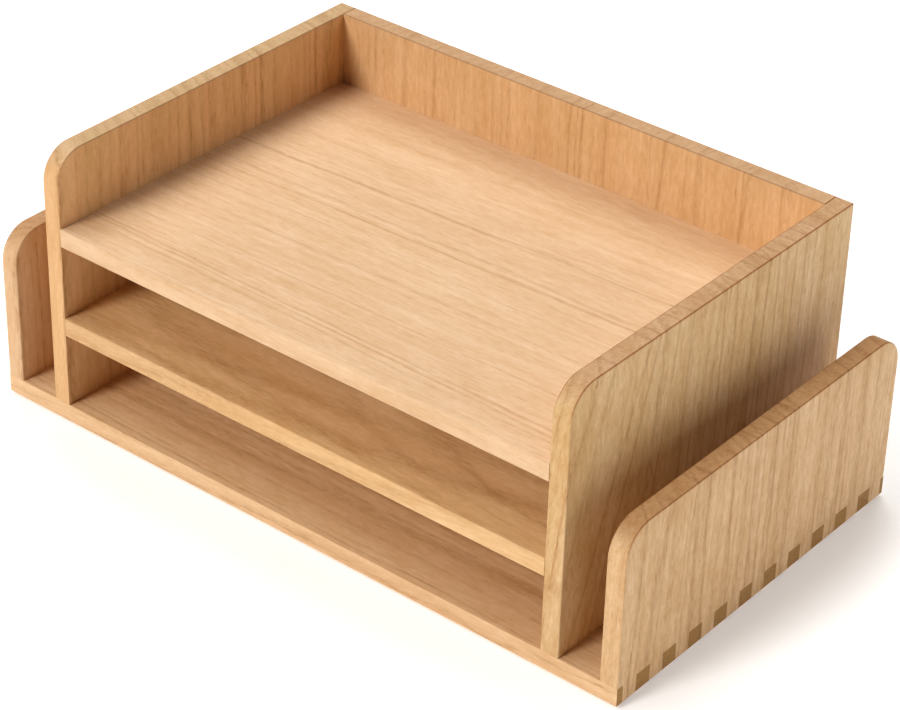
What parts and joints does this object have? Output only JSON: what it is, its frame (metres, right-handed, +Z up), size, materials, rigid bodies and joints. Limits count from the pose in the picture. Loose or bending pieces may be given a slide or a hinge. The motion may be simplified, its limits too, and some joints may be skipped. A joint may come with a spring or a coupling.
{
  "type": "letter tray",
  "caption": "Wooden desk letter tray: an open top tray over stacked letter compartments, with a low outer side and a narrow filing slot along each flank, box-jointed to the base board.",
  "frame": {"origin": "centre of the footprint, on the surface the tray stands on, at the underside of the pads", "axes": "+X across the width to the right seen from the front, +Y from the open front to the back panel, +Z up"},
  "size_m": [0.46, 0.26, 0.182],
  "materials": {
    "board_ash": "satin oiled",
    "dowel_beech": "raw",
    "screw_steel": "zinc plated",
    "pad_rubber": "matte"
  },
  "bodies": {
    "root": {"base_board": "board_ash", "left_outer_side": "board_ash", "right_outer_side": "board_ash", "left_tall_side": "board_ash", "right_tall_side": "board_ash", "top_deck": "board_ash", "middle_shelf": "board_ash", "back_panel": "board_ash", "deck_dowels_left": "dowel_beech", "deck_dowels_right": "dowel_beech", "shelf_dowels_left": "dowel_beech", "shelf_dowels_right": "dowel_beech", "back_dowels_left": "dowel_beech", "back_dowels_right": "dowel_beech", "deck_rear_dowels": "dowel_beech", "left_side_screws": "screw_steel", "right_side_screws": "screw_steel", "back_screws": "screw_steel", "front_left_pad": "pad_rubber", "front_right_pad": "pad_rubber", "rear_left_pad": "pad_rubber", "rear_right_pad": "pad_rubber"}
  },
  "joints": []
}
